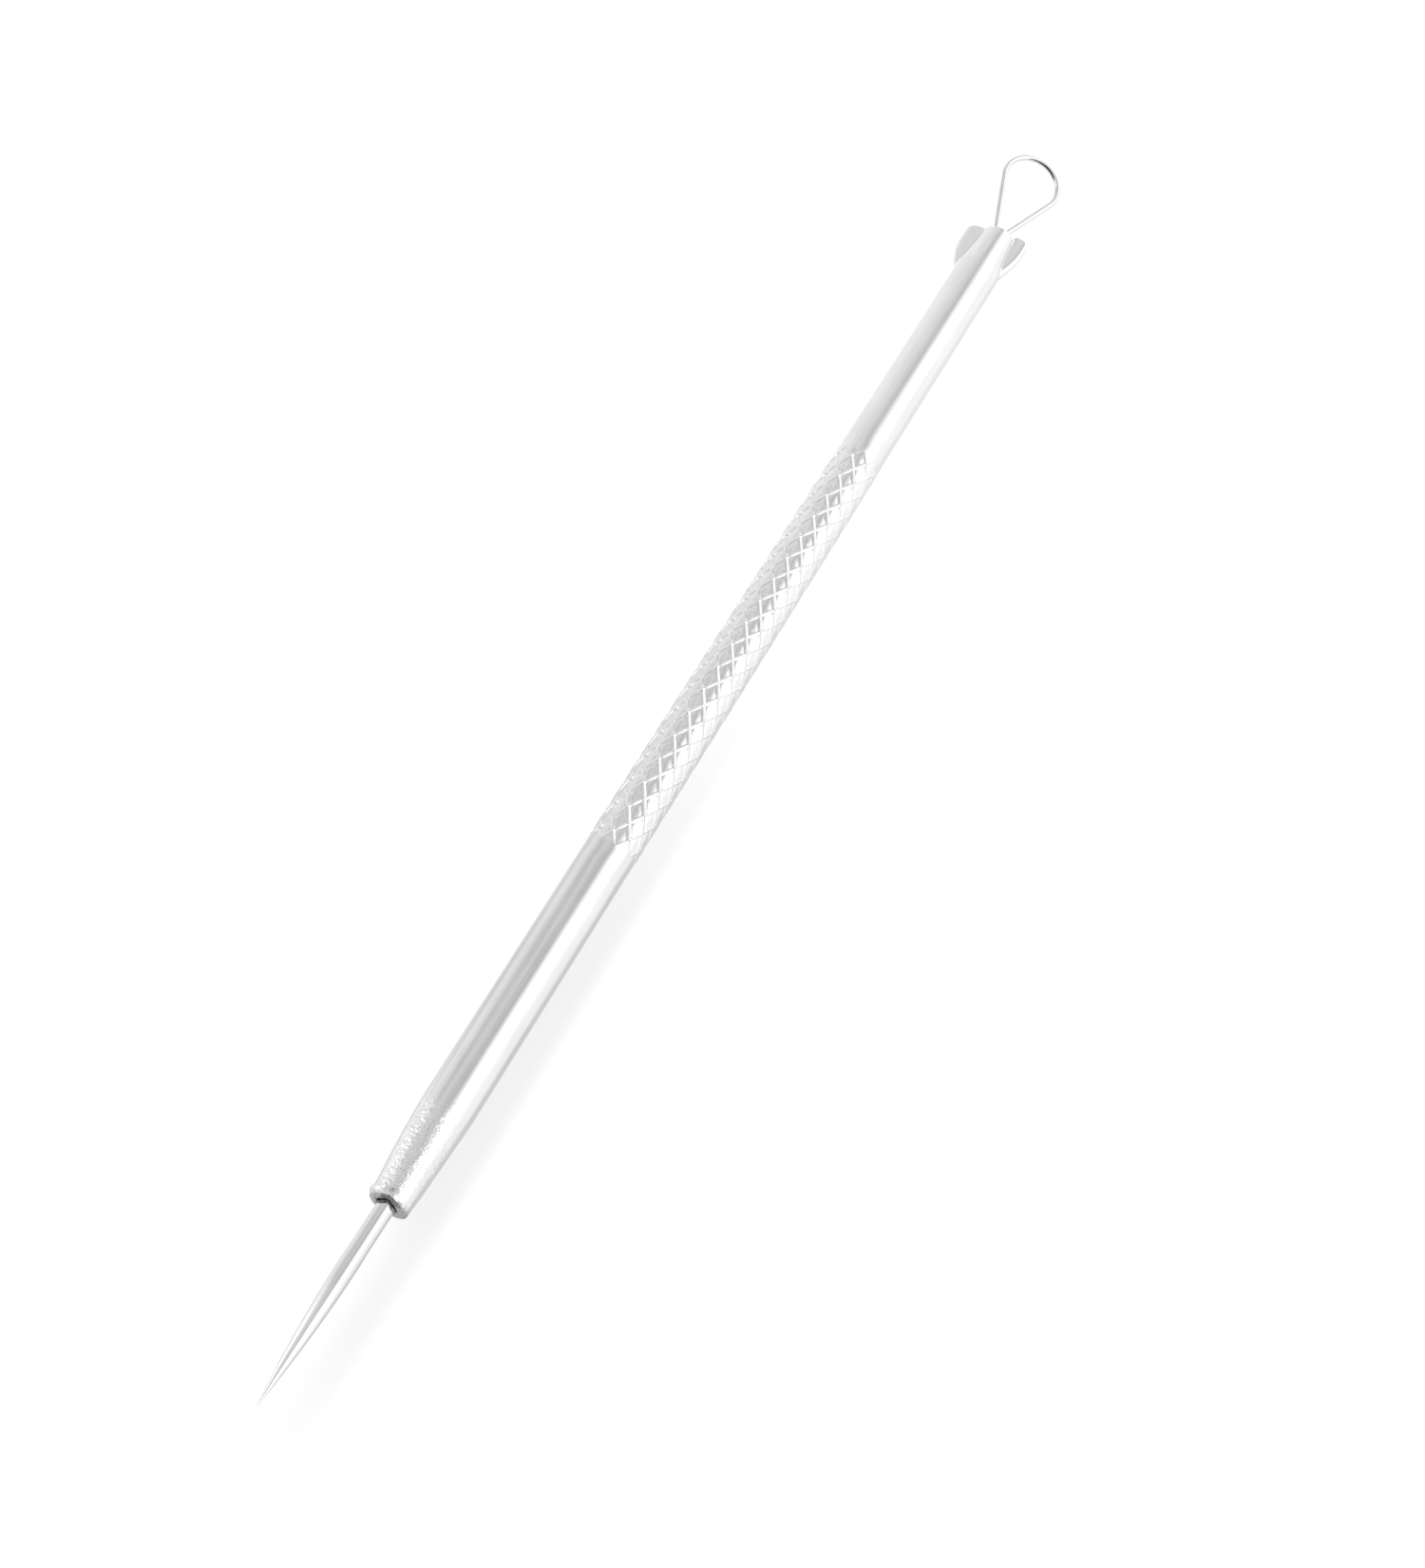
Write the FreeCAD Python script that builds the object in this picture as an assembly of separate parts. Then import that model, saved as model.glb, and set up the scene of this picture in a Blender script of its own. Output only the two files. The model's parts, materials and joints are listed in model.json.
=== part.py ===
"""Double-ended needle and loop tool, all of stainless steel.

A hollow tube carries a diamond-knurled grip.  One end is swaged to a cone that holds a ground
needle, the other is pressed into two flat fins with a channel between them that holds both legs
of a wire loop.

Frame: the origin is the centre of the tube's mouth, where the needle leaves it.  +X runs along the
tube towards the loop, the fins lie in the XY plane and +Z is up.  Lengths are in millimetres and
angles in degrees.
"""
import FreeCAD, Part
import math
import os

# ---- Driving dimensions -------------------------------------------------------------------------

TUBE_RADIUS = 2.0
TUBE_WALL = 0.5
TUBE_LENGTH = 102.8

# Swaged cone at the needle end
NOSE_LENGTH = 5.6
NOSE_BLEND = 1.0
MOUTH_OUTER_RADIUS = 1.54
MOUTH_RADIUS = 1.0
MOUTH_LAND = 0.6
LIP_CHAMFER = 0.14

# Knurled grip: two families of grooves that cross at the same angle to the axis
KNURL_START = 31.0
KNURL_STARTS = 9
KNURL_ANGLE = 30.4
KNURL_TURN = 7.0
KNURL_HALF_PITCHES = 36
KNURL_CREST_RADIUS = TUBE_RADIUS + 0.055
KNURL_GROOVE_RADIUS = TUBE_RADIUS - 0.06
KNURL_CORE_RADIUS = TUBE_RADIUS - 0.14
KNURL_GROOVE_WIDTH = 0.22

# Pressed end: a channel on the axis between two fins with folded edges
CHANNEL_START = 97.6
CHANNEL_END = 102.3
CHANNEL_RADIUS = 1.5
CHANNEL_BORE_RADIUS = 1.0
FIN_START = 96.8
FIN_FLARE_LENGTH = 3.9
FIN_FLARE_SLOPE = 0.3
FIN_REACH = 2.9
FIN_ROOT = 0.6
FIN_THICKNESS = 0.9
FIN_EDGE_RADIUS = 0.4
FIN_CORNER_RADIUS = 0.55

# Needle, and the bush that centres it in the cone
NEEDLE_TIP = -16.1
NEEDLE_TIP_RADIUS = 0.03
NEEDLE_GRIND_START = -4.9
NEEDLE_SHOULDER_RADIUS = 0.726
NEEDLE_SHANK_START = -3.2
NEEDLE_RADIUS = 0.7
NEEDLE_ROOT = 12.0
NEEDLE_ROOT_CHAMFER = 0.15
BUSH_FACE = 0.9
BUSH_END = 11.0

# Wire loop, and the sleeve that packs the channel round its two legs
WIRE_RADIUS = 0.27
LOOP_CENTRE = 109.9
LOOP_HALF_WIDTH = 2.6
LOOP_END_LENGTH = 2.78
LOOP_LEG_ANGLE = 18.8
LOOP_TWIST = 22.0
LEG_OFFSET = 0.29
LEG_ROOT = 93.0
LEG_BEND_REACH = 0.5
SLEEVE_START = 94.0
SLEEVE_FACE = 101.9

# ---- Worked out from them -----------------------------------------------------------------------

BORE_RADIUS = TUBE_RADIUS - TUBE_WALL
KNURL_CIRCUMFERENTIAL_PITCH = 2 * math.pi * TUBE_RADIUS / KNURL_STARTS
KNURL_HALF_PITCH = KNURL_CIRCUMFERENTIAL_PITCH / math.tan(math.radians(KNURL_ANGLE)) / 2
KNURL_GROOVE_SPACING = KNURL_CIRCUMFERENTIAL_PITCH * math.cos(math.radians(KNURL_ANGLE))
KNURL_END = KNURL_START + KNURL_HALF_PITCHES * KNURL_HALF_PITCH

TOLERANCE = 1e-6
ORIGIN = FreeCAD.Vector(0, 0, 0)
X_AXIS = FreeCAD.Vector(1, 0, 0)
Z_AXIS = FreeCAD.Vector(0, 0, 1)


# ---- Shared shape helpers -----------------------------------------------------------------------

def in_plane(x, y):
    """Point in the XY plane, where all profiles and outlines are drawn."""
    return FreeCAD.Vector(x, y, 0)


def straight_edges(*points):
    """Straight edges that join the given points in order."""
    vectors = [in_plane(x, y) for x, y in points]
    return [Part.makeLine(start, end) for start, end in zip(vectors, vectors[1:])]


def rounded_bend(start, corner, end):
    """Smooth edge from start to end, tangent there to the lines that meet at corner."""
    curve = Part.BezierCurve()
    curve.setPoles([in_plane(*start), in_plane(*corner), in_plane(*end)])
    return curve.toShape()


def revolved(edges):
    """Solid swept by a closed profile turned once round the X axis."""
    return Part.Face(Part.Wire(edges)).revolve(ORIGIN, X_AXIS, 360)


def turned(*points):
    """Solid of revolution from a straight-sided profile, closed from its last point to its first."""
    return revolved(straight_edges(*points, points[0]))


def plate(edges, thickness):
    """Flat plate of the given outline, half its thickness above the XY plane and half below."""
    solid = Part.Face(Part.Wire(edges)).extrude(Z_AXIS * thickness)
    solid.translate(Z_AXIS * (-thickness / 2))
    return solid


def between(start, end, start_value, end_value, x):
    """Value at x on the straight line from start_value at start to end_value at end."""
    return start_value + (end_value - start_value) * (x - start) / (end - start)


# ---- Handle tube --------------------------------------------------------------------------------

def nose_radius(x):
    """Outer radius of the swaged cone at x."""
    return between(0, NOSE_LENGTH, MOUTH_OUTER_RADIUS, TUBE_RADIUS, x)


def nose_bore_radius(x):
    """Inner radius of the swaged cone at x, behind the mouth's land."""
    return between(MOUTH_LAND, NOSE_LENGTH, MOUTH_RADIUS, BORE_RADIUS, x)


def channel_bore_radius(x):
    """Inner radius of the pressed end at x."""
    return between(CHANNEL_START, CHANNEL_END, BORE_RADIUS, CHANNEL_BORE_RADIUS, x)


def tube_outside():
    """Outside of the tube from mouth to channel, filled, with a waist for the knurled band."""
    cone_end = (NOSE_LENGTH - NOSE_BLEND, nose_radius(NOSE_LENGTH - NOSE_BLEND))
    land_start = (NOSE_LENGTH + NOSE_BLEND, TUBE_RADIUS)
    edges = straight_edges(
        (0, 0),
        (0, MOUTH_OUTER_RADIUS - LIP_CHAMFER),
        (LIP_CHAMFER, nose_radius(LIP_CHAMFER)),
        cone_end,
    )
    edges.append(rounded_bend(cone_end, (NOSE_LENGTH, TUBE_RADIUS), land_start))
    edges += straight_edges(
        land_start,
        (KNURL_START, TUBE_RADIUS),
        (KNURL_START, KNURL_CORE_RADIUS),
        (KNURL_END, KNURL_CORE_RADIUS),
        (KNURL_END, TUBE_RADIUS),
        (CHANNEL_START, TUBE_RADIUS),
        (CHANNEL_END, CHANNEL_RADIUS),
        (CHANNEL_END, 0),
        (0, 0),
    )
    return revolved(edges)


def tube_bore():
    """Hollow of the tube: mouth, bore, channel, and the gap between the ends of the fins."""
    return turned(
        (0, 0),
        (0, MOUTH_RADIUS),
        (MOUTH_LAND, MOUTH_RADIUS),
        (NOSE_LENGTH, BORE_RADIUS),
        (CHANNEL_START, BORE_RADIUS),
        (CHANNEL_END, CHANNEL_BORE_RADIUS),
        (CHANNEL_END, CHANNEL_RADIUS),
        (TUBE_LENGTH, CHANNEL_RADIUS),
        (TUBE_LENGTH, 0),
    )


def flat_face(points):
    """Flat face inside a closed outline of points."""
    return Part.Face(Part.makePolygon([*points, points[0]]))


def knurl_point(row, turn, radius):
    """Point on the band: row counts half pitches from its start, turn counts groove starts."""
    angle = 2 * math.pi * turn / KNURL_STARTS + math.radians(KNURL_TURN)
    x = KNURL_START + row * KNURL_HALF_PITCH
    return FreeCAD.Vector(x, radius * math.cos(angle), radius * math.sin(angle))


def diamond_turns(row):
    """Places round the tube of the diamonds centred on a row; every other row is half a step on."""
    return [start + row % 2 / 2 for start in range(KNURL_STARTS)]


def diamond_corner(row, turn, step):
    """Foot in the groove and rim of the raised top, at one corner of the diamond centred there."""
    along, around = step
    top_share = 1 - KNURL_GROOVE_WIDTH / KNURL_GROOVE_SPACING
    foot = knurl_point(row + along, turn + around, KNURL_GROOVE_RADIUS)
    rim = knurl_point(row + along * top_share, turn + around * top_share, KNURL_CREST_RADIUS)
    return foot, rim


def diamond_facets(row, turn):
    """Triangles of one diamond; one centred on an end of the band has only its inner half."""
    crown = knurl_point(row, turn, KNURL_CREST_RADIUS)
    steps = [(-1, 0), (0, 0.5), (1, 0), (0, -0.5)]
    triangles = []
    for step, next_step in zip(steps, steps[1:] + steps[:1]):
        side_rows = (row + step[0], row + next_step[0])
        if min(side_rows) < 0 or max(side_rows) > KNURL_HALF_PITCHES:
            continue
        foot, rim = diamond_corner(row, turn, step)
        next_foot, next_rim = diamond_corner(row, turn, next_step)
        triangles.append((foot, next_foot, next_rim))
        triangles.append((foot, next_rim, rim))
        triangles.append((rim, next_rim, crown))
    return triangles


def band_end(row):
    """Flat end of the band, which cuts the diamonds of that row in half."""
    outline = []
    for turn in diamond_turns(row):
        foot, rim = diamond_corner(row, turn, (0, -0.5))
        far_rim = diamond_corner(row, turn, (0, 0.5))[1]
        outline += [foot, rim, knurl_point(row, turn, KNURL_CREST_RADIUS), far_rim]
    return flat_face(outline)


def knurled_band():
    """Knurled band as one filled solid with flat facets."""
    faces = [band_end(0), band_end(KNURL_HALF_PITCHES)]
    for row in range(KNURL_HALF_PITCHES + 1):
        for turn in diamond_turns(row):
            faces += [flat_face(triangle) for triangle in diamond_facets(row, turn)]
    shell = Part.makeShell(faces)
    shell.sewShape()
    return Part.makeSolid(Part.Shell(shell.Faces))


def fin_outline(side, end):
    """Edges of a fin's outline out to end: first the folded outer edge, then the rest."""
    start = (FIN_START, side * (TUBE_RADIUS - FIN_EDGE_RADIUS / 2))
    # Share of the flare's length, and of the way from the tube's side to the full reach there
    flare_shape = [(0.35, 0.37), (0.7, 0.84)]
    waypoints = [
        (
            FIN_START + length_share * FIN_FLARE_LENGTH,
            side * between(0, 1, TUBE_RADIUS, FIN_REACH, reach_share),
        )
        for length_share, reach_share in flare_shape
    ]
    full_reach = (FIN_START + FIN_FLARE_LENGTH, side * FIN_REACH)
    flare = Part.BSplineCurve()
    flare.interpolate(
        Points=[in_plane(*place) for place in (start, *waypoints, full_reach)],
        InitialTangent=in_plane(1, side * FIN_FLARE_SLOPE),
        FinalTangent=in_plane(1, 0),
    )
    fin_end = (end, side * FIN_REACH)
    folded_edge = [flare.toShape(), *straight_edges(full_reach, fin_end)]
    rest = straight_edges(fin_end, (end, side * FIN_ROOT), (FIN_START, side * FIN_ROOT), start)
    return folded_edge, rest


def end_trim(side):
    """Plate that trims a fin square at the tube's end, with its outer corner rounded."""
    corner_x = TUBE_LENGTH - FIN_CORNER_RADIUS
    corner_y = FIN_REACH - FIN_CORNER_RADIUS
    middle = FIN_CORNER_RADIUS * math.sqrt(0.5)
    corner = Part.Arc(
        in_plane(corner_x, side * FIN_REACH),
        in_plane(corner_x + middle, side * (corner_y + middle)),
        in_plane(TUBE_LENGTH, side * corner_y),
    )
    edges = [
        corner.toShape(),
        *straight_edges(
            (TUBE_LENGTH, side * corner_y),
            (TUBE_LENGTH, 0),
            (FIN_START, 0),
            (FIN_START, side * FIN_REACH),
            (corner_x, side * FIN_REACH),
        ),
    ]
    return plate(edges, 2 * FIN_THICKNESS)


def follows(edge, wire):
    """Whether an edge of a plate runs straight above or below a wire drawn in the XY plane."""
    middle = edge.valueAt((edge.FirstParameter + edge.LastParameter) / 2)
    height = abs(middle.z)
    middle.z = 0
    return height > TOLERANCE and wire.distToShape(Part.Vertex(middle))[0] < TOLERANCE


def fin(side):
    """Flat fin beside the channel, its outer edge folded round: side is 1 at +Y and -1 at -Y."""
    folded_edge, rest = fin_outline(side, TUBE_LENGTH + FIN_CORNER_RADIUS)
    blank = plate(folded_edge + rest, FIN_THICKNESS)
    folds = [edge for edge in blank.Edges if follows(edge, Part.Wire(folded_edge))]
    return blank.makeFillet(FIN_EDGE_RADIUS, folds).common(end_trim(side))


def handle_tube():
    """The whole tube: swaged cone, plain lands, knurled grip, channel and fins."""
    outside = tube_outside().fuse([fin(1), fin(-1)])
    return outside.fuse(knurled_band()).cut(tube_bore())


# ---- Needle and its bush ------------------------------------------------------------------------

def needle():
    """Solid needle: long convex point, slight shoulder where the grinding stopped, plain shank."""
    point_length = NEEDLE_GRIND_START - NEEDLE_TIP
    # Share of the point's length, and of the shoulder's radius there
    point_shape = [(0.27, 0.49), (0.49, 0.74), (0.72, 0.89)]
    tip = (NEEDLE_TIP, NEEDLE_TIP_RADIUS)
    shoulder = (NEEDLE_GRIND_START, NEEDLE_SHOULDER_RADIUS)
    waypoints = [
        (NEEDLE_TIP + length_share * point_length, radius_share * NEEDLE_SHOULDER_RADIUS)
        for length_share, radius_share in point_shape
    ]
    point_curve = Part.BSplineCurve()
    point_curve.interpolate([in_plane(*place) for place in (tip, *waypoints, shoulder)])
    edges = [
        *straight_edges((NEEDLE_TIP, 0), tip),
        point_curve.toShape(),
        *straight_edges(
            shoulder,
            (NEEDLE_SHANK_START, NEEDLE_RADIUS),
            (NEEDLE_ROOT - NEEDLE_ROOT_CHAMFER, NEEDLE_RADIUS),
            (NEEDLE_ROOT, NEEDLE_RADIUS - NEEDLE_ROOT_CHAMFER),
            (NEEDLE_ROOT, 0),
            (NEEDLE_TIP, 0),
        ),
    ]
    return revolved(edges)


def needle_bush():
    """Tapered bush, trapped in the cone, that the needle's root is pressed into."""
    return turned(
        (BUSH_FACE, NEEDLE_RADIUS),
        (BUSH_FACE, nose_bore_radius(BUSH_FACE)),
        (NOSE_LENGTH, BORE_RADIUS),
        (BUSH_END, BORE_RADIUS),
        (BUSH_END, NEEDLE_RADIUS),
    )


# ---- Wire loop and its sleeve -------------------------------------------------------------------

def twisted(solid):
    """Turn about the tube's axis, by the angle between the loop's plane and the fins."""
    solid.rotate(ORIGIN, X_AXIS, LOOP_TWIST)
    return solid


def leg_edges(side):
    """Centre line of one leg, from its root in the sleeve to the widest part of the loop."""
    angle = math.radians(LOOP_LEG_ANGLE)
    touch = (
        LOOP_CENTRE - LOOP_HALF_WIDTH * math.sin(angle),
        side * LOOP_HALF_WIDTH * math.cos(angle),
    )
    bend_x = touch[0] - (abs(touch[1]) - LEG_OFFSET) / math.tan(angle)
    bend_start = (bend_x - LEG_BEND_REACH, side * LEG_OFFSET)
    bend_end = (
        bend_x + LEG_BEND_REACH * math.cos(angle),
        side * (LEG_OFFSET + LEG_BEND_REACH * math.sin(angle)),
    )
    shoulder = Part.Arc(
        in_plane(*touch),
        in_plane(
            LOOP_CENTRE - LOOP_HALF_WIDTH * math.sin(angle / 2),
            side * LOOP_HALF_WIDTH * math.cos(angle / 2),
        ),
        in_plane(LOOP_CENTRE, side * LOOP_HALF_WIDTH),
    )
    return [
        *straight_edges((LEG_ROOT, side * LEG_OFFSET), bend_start),
        rounded_bend(bend_start, (bend_x, side * LEG_OFFSET), bend_end),
        *straight_edges(bend_end, touch),
        shoulder.toShape(),
    ]


def loop_end_edge():
    """Centre line of the loop's far end, half an ellipse from one widest point to the other."""
    ellipse = Part.Ellipse(
        in_plane(LOOP_CENTRE + LOOP_END_LENGTH, 0),
        in_plane(LOOP_CENTRE, LOOP_HALF_WIDTH),
        in_plane(LOOP_CENTRE, 0),
    )
    return ellipse.toShape(-math.pi / 2, math.pi / 2)


def wire_loop():
    """Teardrop of round wire with two parallel legs."""
    path = Part.Wire([*leg_edges(-1), loop_end_edge(), *leg_edges(1)[::-1]])
    section = Part.Wire(Part.makeCircle(WIRE_RADIUS, in_plane(LEG_ROOT, -LEG_OFFSET), X_AXIS))
    return twisted(path.makePipeShell([section], True, False))


def leg_sleeve():
    """Tapered sleeve, trapped in the channel, with one slot for the two legs side by side."""
    body = turned(
        (SLEEVE_START, 0),
        (SLEEVE_START, BORE_RADIUS),
        (CHANNEL_START, BORE_RADIUS),
        (SLEEVE_FACE, channel_bore_radius(SLEEVE_FACE)),
        (SLEEVE_FACE, 0),
    )
    length = SLEEVE_FACE - SLEEVE_START
    corner = FreeCAD.Vector(SLEEVE_START, -LEG_OFFSET, -WIRE_RADIUS)
    slot_middle = Part.makeBox(length, 2 * LEG_OFFSET, 2 * WIRE_RADIUS, corner)
    slot_ends = [
        Part.makeCylinder(WIRE_RADIUS, length, in_plane(SLEEVE_START, side * LEG_OFFSET), X_AXIS)
        for side in (-1, 1)
    ]
    return twisted(body.cut(slot_middle.fuse(slot_ends)))


# ---- One STEP file for each piece ---------------------------------------------------------------

def main():
    os.makedirs("parts", exist_ok=True)
    for make_piece in (handle_tube, needle, needle_bush, wire_loop, leg_sleeve):
        make_piece().exportStep(f"parts/{make_piece.__name__}.step")


main()
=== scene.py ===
"""Looks of the double-ended needle and loop tool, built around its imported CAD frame.

Every length is in metres, in the part's own frame: the origin is the centre of the tube's mouth,
+X runs along the tube towards the loop, the fins lie in the XY plane and +Z is up.  Angles round
the tube start at +Y and turn towards +Z.
"""
import json
import math

import bmesh
import bpy
import numpy as np
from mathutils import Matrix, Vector


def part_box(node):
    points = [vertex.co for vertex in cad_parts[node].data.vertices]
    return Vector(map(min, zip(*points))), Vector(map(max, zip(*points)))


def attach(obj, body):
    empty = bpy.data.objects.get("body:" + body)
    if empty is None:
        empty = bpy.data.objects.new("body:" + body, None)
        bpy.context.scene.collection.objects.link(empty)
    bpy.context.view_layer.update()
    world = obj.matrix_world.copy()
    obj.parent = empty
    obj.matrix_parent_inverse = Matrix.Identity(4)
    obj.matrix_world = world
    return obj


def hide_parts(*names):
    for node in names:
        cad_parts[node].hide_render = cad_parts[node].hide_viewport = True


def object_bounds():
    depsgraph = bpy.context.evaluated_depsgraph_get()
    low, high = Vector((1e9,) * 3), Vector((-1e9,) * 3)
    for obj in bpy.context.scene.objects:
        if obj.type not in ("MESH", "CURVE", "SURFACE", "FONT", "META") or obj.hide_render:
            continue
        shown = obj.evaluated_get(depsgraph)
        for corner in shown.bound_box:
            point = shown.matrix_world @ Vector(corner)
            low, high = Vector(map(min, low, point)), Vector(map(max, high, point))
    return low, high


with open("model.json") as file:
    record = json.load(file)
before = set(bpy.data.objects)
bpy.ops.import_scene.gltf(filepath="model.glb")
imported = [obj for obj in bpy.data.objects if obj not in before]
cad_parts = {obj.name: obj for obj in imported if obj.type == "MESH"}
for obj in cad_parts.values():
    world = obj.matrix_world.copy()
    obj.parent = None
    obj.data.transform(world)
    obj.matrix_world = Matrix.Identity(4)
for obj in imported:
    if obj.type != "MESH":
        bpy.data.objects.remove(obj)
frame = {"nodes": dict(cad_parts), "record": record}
cad_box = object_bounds()

MM = 0.001

# ---- Places and sizes from the frame ------------------------------------------------------------

mounts = {mount["name"]: mount for mount in frame["record"]["mounts"]}
_, tube_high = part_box("handle_tube")
needle_low, needle_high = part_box("needle")
loop_low, loop_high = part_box("wire_loop")
bush_low, bush_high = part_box("needle_bush")

land = mounts["front_land"]
TUBE_RADIUS = land["dims"]["r_mm"] * MM
LAND_START = land["pos_m"][0] - land["dims"]["length_mm"] * MM / 2
KNURL_START = land["pos_m"][0] + land["dims"]["length_mm"] * MM / 2
TUBE_END = tube_high.x
FIN_REACH = tube_high.y
BORE_RADIUS = bush_high.y
NEEDLE_TIP = needle_low.x
NEEDLE_ROOT = needle_high.x
LOOP_CENTRE = mounts["loop_eye"]["pos_m"][0]
LOOP_TWIST = math.atan2(-mounts["loop_eye"]["axis"][1], mounts["loop_eye"]["axis"][2])
LEG_ROOT = loop_low.x

# ---- Shape details ------------------------------------------------------------------------------

# Swaged cone and its rolled lip
NOSE_LENGTH = LAND_START - 1.0 * MM
NOSE_BLEND = 0.15 * MM
MOUTH_OUTER_RADIUS = 1.54 * MM
MOUTH_BORE_RADIUS = 1.04 * MM
MOUTH_SHIFT = 0.07 * MM
LIP_REACH = 0.25 * MM
LIP_RADIUS = 0.12 * MM
LIP_RAGGEDNESS = 0.03 * MM
LIP_FACE_ROUGHNESS = 0.02 * MM
LIP_RINGS_END = 0.24 * MM
OPENING_RADIUS = 0.83 * MM
OPENING_CENTRE = (0.02 * MM, 0.05 * MM)
OPENING_DEPTHS = (0.05 * MM, 0.5 * MM)
# Notch in the top of the lip, and a pit just behind it
NOTCH_ANGLE = math.radians(98)
NOTCH_DEPTH = 0.22 * MM
NOTCH_SPREAD = 0.5
PIT_ANGLE = math.radians(96)
PIT_PLACE = 0.45 * MM
PIT_DEPTH = 0.05 * MM
PIT_LENGTH = 0.13 * MM
PIT_WIDTH = 0.2 * MM
# Burr on the left side of the mouth, which falls away again towards the lip
BURR_PLACE = 0.32 * MM
BURR_HEIGHT = 0.16 * MM
BURR_LENGTH = 0.3 * MM
BURR_FALL = 0.08 * MM
# Marks of the swaging jaws, as (depth, seed, length of a mark, marks round the cone)
JAW_MARKS = (
    (0.005 * MM, 11, 0.2 * MM, 30),
    (0.006 * MM, 12, 0.5 * MM, 14),
    (0.012 * MM, 13, 1.7 * MM, 9),
)
MARKS_END = LAND_START + 2.6 * MM

# Knurl: crossed grooves, nine starts each way
KNURL_STARTS = 9
KNURL_ANGLE = math.radians(30.4)
KNURL_TURN = math.radians(7)
KNURL_ROWS = 36
KNURL_WEAR = 0.004 * MM
# Profile across each family of grooves, as (share of a cell, height in millimetres): the metal
# falls steeply from a pushed-up lip to the groove's bottom, and climbs slowly to the next lip
FIRST_PROFILE = ((0, 0.045), (0.165, -0.065), (0.3, -0.032), (0.6, -0.014), (0.85, -0.012), (1, 0.045))
SECOND_PROFILE = ((0, 0.03), (0.12, -0.05), (0.3, -0.03), (0.7, -0.014), (0.9, -0.01), (1, 0.03))
# Shares of a cell that the mesh follows, from one lip to just before the next
CELL_BREAKS = (0, 0.03, 0.08, 0.12, 0.165, 0.2, 0.24, 0.3, 0.44, 0.6, 0.7, 0.78, 0.85, 0.9, 0.95, 0.98)

# Pressed end
CHANNEL_START = TUBE_END - 5.2 * MM
CHANNEL_END = TUBE_END - 0.5 * MM
CHANNEL_RADIUS = 1.5 * MM
CHANNEL_BORE_RADIUS = 1.0 * MM
RIM_ROUNDING = 0.07 * MM
# Shares of the rim's quarter turn that the mesh follows
RIM_SHARES = (0.2, 0.4, 0.6, 0.75, 0.88, 0.96, 1)
FIN_START = TUBE_END - 6 * MM
FIN_ROOT_DEPTH = 0.2 * MM
FIN_FLARE_LENGTH = 4.1 * MM
FIN_FLARE_SLOPE = 0.3
# The left fin reaches out further, starts sooner and ends sooner than the right one
FIN_REACH_UNEVEN = 0.1 * MM
FIN_START_UNEVEN = 0.4 * MM
FIN_END_UNEVEN = 0.25 * MM
CREASE_SHARE = 0.45
CREASE_SOFTNESS = 0.03 * MM
FIN_HALF_THICKNESS = 0.45 * MM
FIN_CORNER_RADIUS = 0.55 * MM

# Needle and loop
GRIND_START = -4.9 * MM
SHANK_START = -3.2 * MM
NEEDLE_RADIUS = 0.7 * MM
NEEDLE_SHOULDER_RADIUS = 0.726 * MM
NEEDLE_TIP_RADIUS = 0.03 * MM
NEEDLE_CONVEXITY = 1.95
NEEDLE_CHAMFER = 0.15 * MM
NEEDLE_LEAN = 0.0125
WIRE_RADIUS = 0.27 * MM
LEG_ANGLE = math.radians(18.8)
LEG_OFFSET = 0.29 * MM
LEG_BEND_REACH = 0.5 * MM
LOOP_SHIFT = 0.2 * MM
LOOP_END_LENGTH = loop_high.x - WIRE_RADIUS - LOOP_CENTRE
LOOP_HALF_WIDTH = (loop_high.y - WIRE_RADIUS) / math.cos(LOOP_TWIST)

# Mesh grid of the tube
KNURL_HALF_PITCH = math.pi * TUBE_RADIUS / KNURL_STARTS / math.tan(KNURL_ANGLE)
KNURL_END = KNURL_START + KNURL_ROWS * KNURL_HALF_PITCH
CELL_STEPS = len(CELL_BREAKS)
ROUND_STEPS = KNURL_STARTS * CELL_STEPS
EVEN_ANGLES = np.arange(ROUND_STEPS) * 2 * math.pi / ROUND_STEPS
NOSE_STEP = 0.07 * MM
PRESSED_STEP = 0.08 * MM
# Plain lengths next to the knurl over which the mesh turns to the knurl's own grid
KNURL_GAP = 0.1 * MM
KNURL_TURN_LENGTH = 1.5 * MM
SHARP_ANGLE = math.radians(50)


# ---- Mesh helpers -------------------------------------------------------------------------------

def smoothstep(low, high, value):
    """0 below low, 1 above high, and a smooth S between them."""
    share = np.clip((value - low) / (high - low), 0, 1)
    return share * share * (3 - 2 * share)


def ring(x, radius, angles, centre=(0, 0)):
    """Points round the X axis; x and radius are numbers or one value for each angle."""
    y = centre[0] + radius * np.cos(angles)
    z = centre[1] + radius * np.sin(angles)
    return np.stack([np.broadcast_to(x, y.shape), y, z], axis=1)


def bridge(first, second, count):
    """Quads between two rings of count points that start at these point numbers."""
    step = np.arange(count)
    after = (step + 1) % count
    return np.stack([first + step, first + after, second + after, second + step], axis=1).tolist()


def make_piece(name, points, faces):
    """Closed smooth-shaded mesh object, with its normals outward and only its real edges sharp."""
    mesh = bpy.data.meshes.new(name)
    mesh.from_pydata(points.tolist(), [], faces)
    edit = bmesh.new()
    edit.from_mesh(mesh)
    bmesh.ops.recalc_face_normals(edit, faces=edit.faces)
    edit.to_mesh(mesh)
    edit.free()
    mesh.shade_smooth()
    mesh.set_sharp_from_angle(angle=SHARP_ANGLE)
    piece = bpy.data.objects.new(name, mesh)
    bpy.context.scene.collection.objects.link(piece)
    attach(piece, "root")
    return piece


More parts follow.
